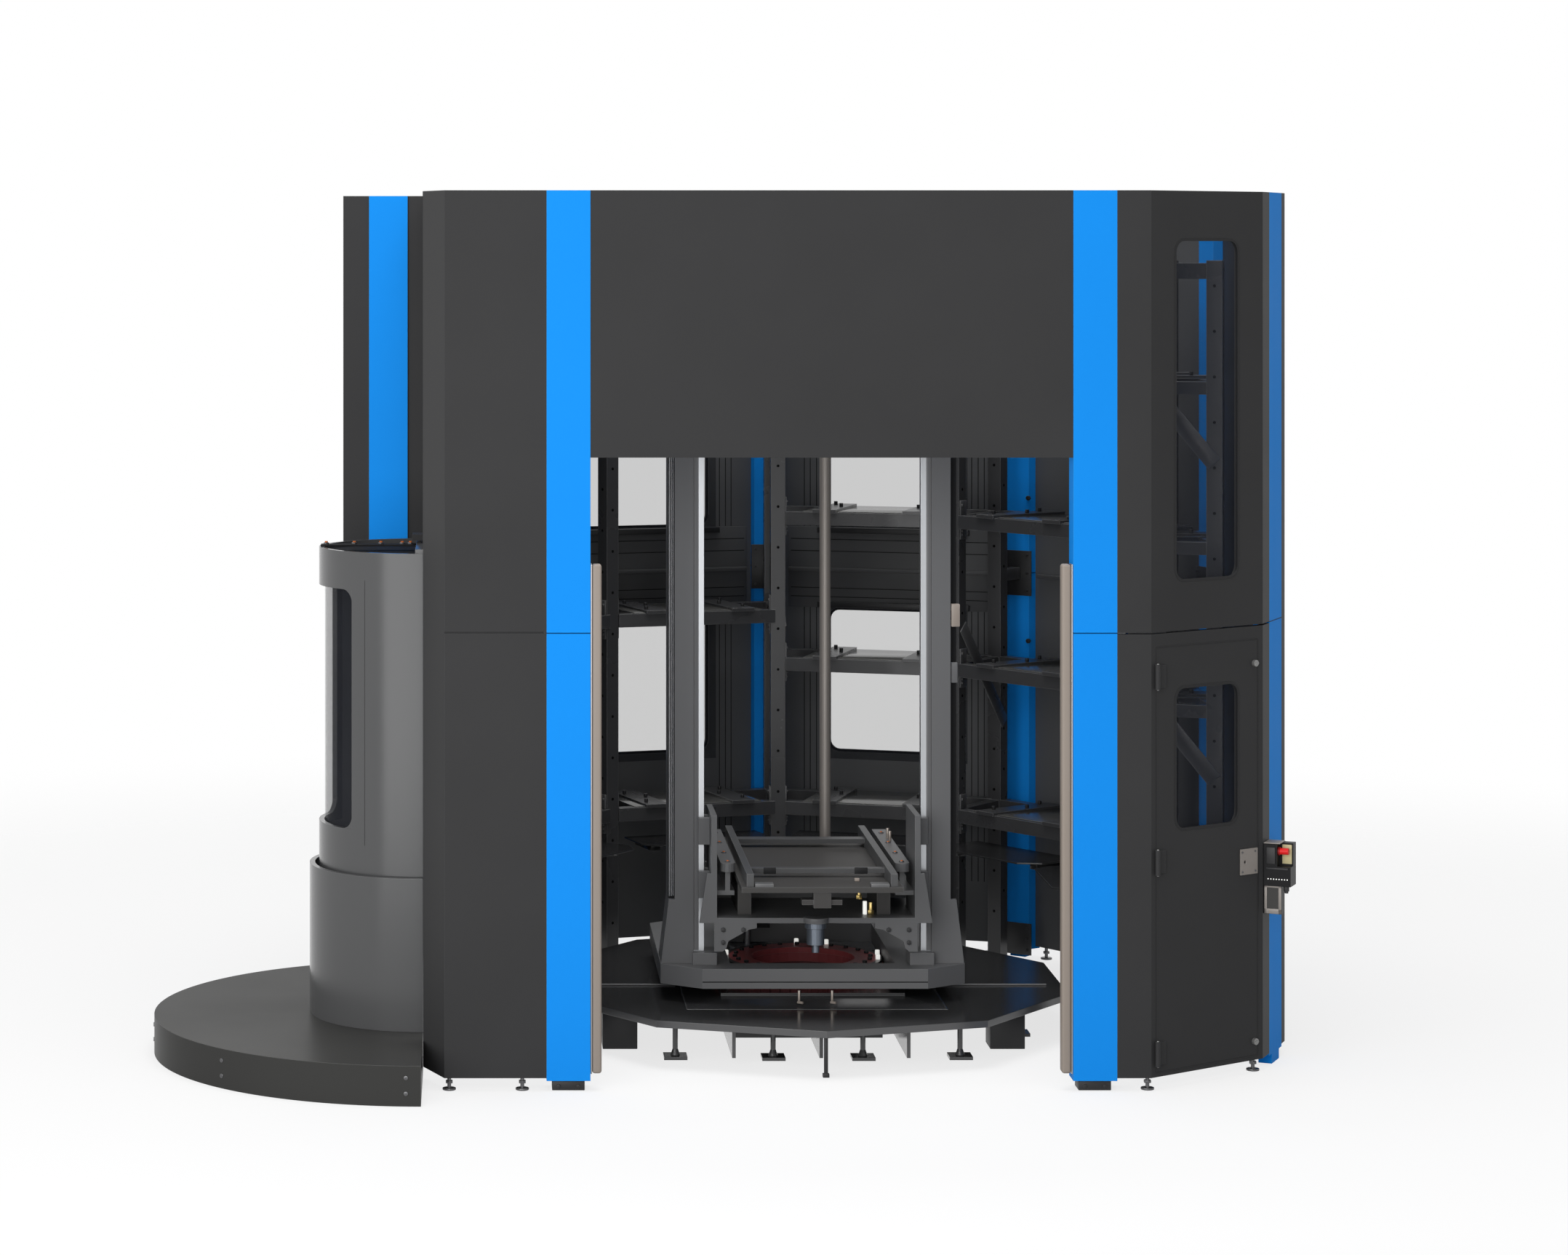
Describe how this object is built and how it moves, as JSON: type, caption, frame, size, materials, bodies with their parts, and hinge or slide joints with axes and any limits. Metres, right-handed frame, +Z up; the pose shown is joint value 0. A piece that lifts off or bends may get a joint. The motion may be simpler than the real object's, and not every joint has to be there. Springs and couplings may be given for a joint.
{
  "type": "pallet storage tower",
  "caption": "Round ten-sided pallet storage tower with a slewing lift mast, transfer fork, radial racks, service door and a loading station with a rotary door.",
  "frame": {"origin": "on the mast's slewing axis at floor level, the centre of the pedestal's foot plate", "axes": "+Z up, -Y out of the docking opening, -X towards the loading station"},
  "size_m": [4.2123, 3.2745, 3.2],
  "materials": {
    "anthracite_sheet": "satin powder coat",
    "blue_strip": "satin powder coat",
    "clear_pane": "clear polycarbonate",
    "station_grey": "satin metallic coat",
    "step_plate": "textured coat",
    "pan_gloss": "gloss coat",
    "mast_paint": "satin paint",
    "rack_paint": "satin paint",
    "gear_primer": "oxide primer",
    "ground_steel": "ground and polished",
    "stainless": "brushed",
    "black_plastic": "moulded",
    "red_plastic": "moulded"
  },
  "bodies": {
    "enclosure": {"front_header_panel": "anthracite_sheet", "front_left_panel": "anthracite_sheet", "right_upper_panel": "anthracite_sheet", "right_door_frame": "anthracite_sheet", "wall_panel_0": "anthracite_sheet", "wall_panel_36": "anthracite_sheet", "wall_panel_72": "anthracite_sheet", "wall_panel_108": "anthracite_sheet", "wall_panel_144": "anthracite_sheet", "wall_panel_180": "anthracite_sheet", "station_back_panel": "anthracite_sheet", "station_header_panel": "anthracite_sheet", "front_column_left": "blue_strip", "front_column_right": "blue_strip", "corner_column_right_front": "blue_strip", "corner_column_18": "blue_strip", "corner_column_54": "blue_strip", "corner_column_90": "blue_strip", "corner_column_126": "blue_strip", "corner_column_162": "blue_strip", "station_back_strip": "blue_strip", "right_upper_pane": "clear_pane", "wall_pane_72": "clear_pane", "wall_pane_108": "clear_pane", "station_lower_wall": "station_grey", "station_platform": "step_plate", "floor_pan": "pan_gloss", "slew_pedestal": "mast_paint", "slew_plate": "mast_paint", "rack_section_m18": "rack_paint", "rack_section_18": "rack_paint", "rack_section_54": "rack_paint", "rack_section_90": "rack_paint", "rack_section_126": "rack_paint", "rack_section_162": "rack_paint", "ring_gear": "gear_primer", "guard_lock": "black_plastic"},
    "mast": {"slew_base_frame": "mast_paint", "slew_inner_ring": "gear_primer", "mast_column_left": "mast_paint", "mast_column_right": "mast_paint", "guide_rail_left": "ground_steel", "guide_rail_right": "ground_steel", "mast_top_beam": "mast_paint", "lift_motor": "black_plastic", "slew_motor": "black_plastic"},
    "spindle": {"lift_spindle": "ground_steel"},
    "pinion": {"slew_pinion": "ground_steel"},
    "carriage": {"carriage_frame": "mast_paint", "fork_table": "mast_paint", "fork_motor": "black_plastic"},
    "fork": {"transfer_fork": "mast_paint"},
    "station_door": {"station_door": "station_grey", "station_door_pane": "clear_pane"},
    "service_door": {"service_door": "anthracite_sheet", "service_door_pane": "clear_pane", "door_handle": "stainless"},
    "latch_lower": {"cam_latch_lower": "stainless"},
    "latch_upper": {"cam_latch_upper": "stainless"},
    "release_knob": {"release_knob": "red_plastic"}
  },
  "joints": [
    {"name": "mast_rotation", "type": "hinge", "parent": "enclosure", "child": "mast", "pos_m": [0, 0, 0], "axis": [0, 0, 1], "range_deg": [-180, 180]},
    {"name": "lift", "type": "slide", "parent": "mast", "child": "carriage", "axis": [0, 0, 1], "range_m": [0, 1.9]},
    {"name": "fork_slide", "type": "slide", "parent": "carriage", "child": "fork", "axis": [0, -1, 0], "range_m": [-0.24, 0.2]},
    {"name": "spindle_turn", "type": "hinge", "parent": "mast", "child": "spindle", "pos_m": [0.13, 0.47, 0], "axis": [0, 0, 1], "continuous": true},
    {"name": "pinion_turn", "type": "hinge", "parent": "mast", "child": "pinion", "pos_m": [-0.18659, 0.40013, 0], "axis": [0, 0, 1], "range_deg": [-720, 720]},
    {"name": "station_door_turn", "type": "hinge", "parent": "enclosure", "child": "station_door", "pos_m": [-1.457, -0.455, 0], "axis": [0, 0, 1], "range_deg": [0, 180]},
    {"name": "service_door_swing", "type": "hinge", "parent": "enclosure", "child": "service_door", "pos_m": [1.15885, -1.21178, 0], "axis": [0, 0, -1], "range_deg": [0, 110]},
    {"name": "latch_lower_turn", "type": "hinge", "parent": "service_door", "child": "latch_lower", "pos_m": [1.56278, -0.90347, 0.114], "axis": [0.5878, -0.809, 0], "range_deg": [0, 90]},
    {"name": "latch_upper_turn", "type": "hinge", "parent": "service_door", "child": "latch_upper", "pos_m": [1.56278, -0.90347, 1.488], "axis": [0.5878, -0.809, 0], "range_deg": [0, 90]},
    {"name": "release_knob_press", "type": "slide", "parent": "enclosure", "child": "release_knob", "axis": [-0.9055, 0.4243, 0], "range_m": [0, 0.005], "stiffness_N_per_m": 400}
  ],
  "couplings": [
    {"joint": "spindle_turn", "follows": "lift", "rad_per_m": 157.08},
    {"joint": "pinion_turn", "follows": "mast_rotation", "ratio": 4}
  ]
}
